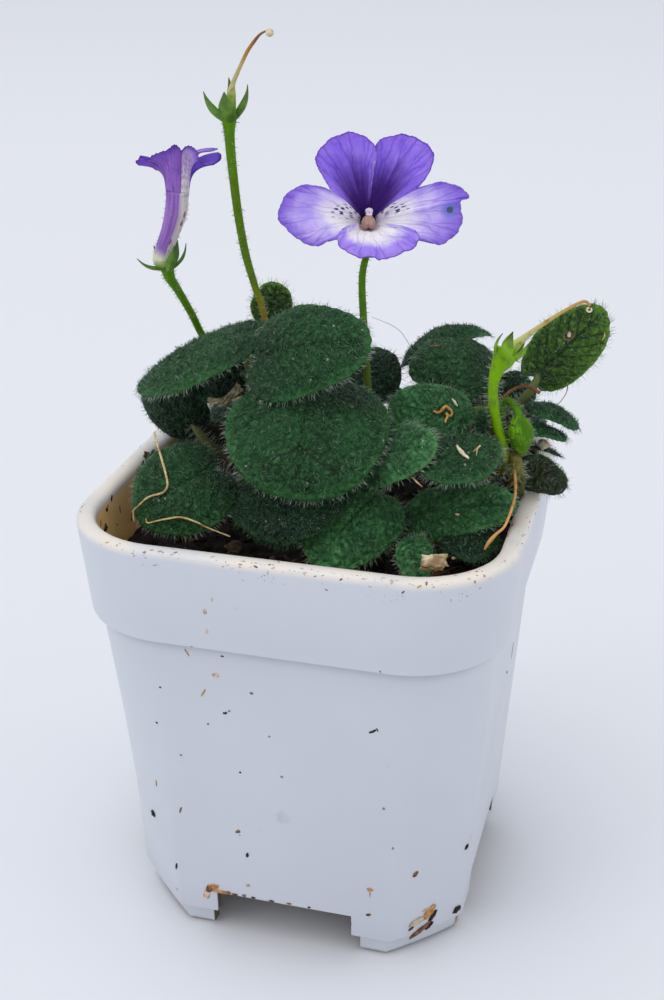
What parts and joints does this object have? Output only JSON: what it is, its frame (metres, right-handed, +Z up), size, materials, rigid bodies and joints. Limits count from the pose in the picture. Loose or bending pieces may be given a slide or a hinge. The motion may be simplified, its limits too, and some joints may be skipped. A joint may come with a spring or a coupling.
{
  "type": "potted sinningia",
  "caption": "Small hairy-leaved flowering plant in a square tapered plastic pot that stands on four corner feet.",
  "frame": {"origin": "on the surface that the pot stands on, under the middle of the whole object's box", "axes": "+Z up along the pot; -Y is the side that the open flower faces; +X to the right of that side"},
  "size_m": [0.0786, 0.07, 0.1432],
  "materials": {
    "pot_plastic": "moulded, slightly glossy, soiled along the rim and feet",
    "soil": "moist dark peat with bark crumbs",
    "stem": "short hairy stem",
    "leaf": "velvety, with white hairs",
    "young_leaf": "thin, lit from behind, dark veins",
    "petal": "thin petal, finely veined",
    "flower_stalk": "smooth with fine hairs",
    "flower_centre": "smooth, waxy",
    "dried_plant": "withered, dry",
    "straw_and_bark": "dry, rough"
  },
  "bodies": {
    "root": {"anthers_main": "flower_centre", "bark_chip": "straw_and_bark", "bud": "flower_stalk", "dry_calyx": "dried_plant", "dry_curl": "dried_plant", "dry_stalk": "dried_plant", "dry_style": "dried_plant", "flower_left": "petal", "flower_main": "petal", "flower_stalk_left": "flower_stalk", "flower_stalk_main": "flower_stalk", "leaf_back_corner": "leaf", "leaf_back_curled": "leaf", "leaf_back_left": "leaf", "leaf_back_middle": "leaf", "leaf_back_middle_left": "leaf", "leaf_back_right": "leaf", "leaf_behind_middle": "leaf", "leaf_behind_stalk": "leaf", "leaf_corner_left": "leaf", "leaf_corner_right": "leaf", "leaf_front_left": "leaf", "leaf_front_low": "leaf", "leaf_front_low_right": "leaf", "leaf_front_middle": "leaf", "leaf_front_right": "leaf", "leaf_left_hanging": "leaf", "leaf_left_inner": "leaf", "leaf_middle_small": "leaf", "leaf_right_inner": "leaf", "leaf_right_lower": "leaf", "leaf_right_upper": "leaf", "leaf_right_upright": "young_leaf", "leaf_side_low": "leaf", "leaf_side_middle": "leaf", "leaf_side_small": "leaf", "leaf_side_top": "leaf", "leaf_top_small": "young_leaf", "leaf_upper_left": "leaf", "leaf_upper_middle": "leaf", "pistil_left": "flower_centre", "pistil_main": "flower_centre", "pot": "pot_plastic", "seed_pod": "flower_stalk", "seed_stalk": "flower_stalk", "soil": "soil", "spent_stalk": "flower_stalk", "spent_style": "dried_plant", "splinter_1": "straw_and_bark", "splinter_2": "straw_and_bark", "splinter_3": "straw_and_bark", "splinter_4": "straw_and_bark", "stem_left": "stem", "stem_middle": "stem", "stem_right": "stem", "straw_long": "straw_and_bark", "straw_short": "straw_and_bark"}
  },
  "joints": []
}
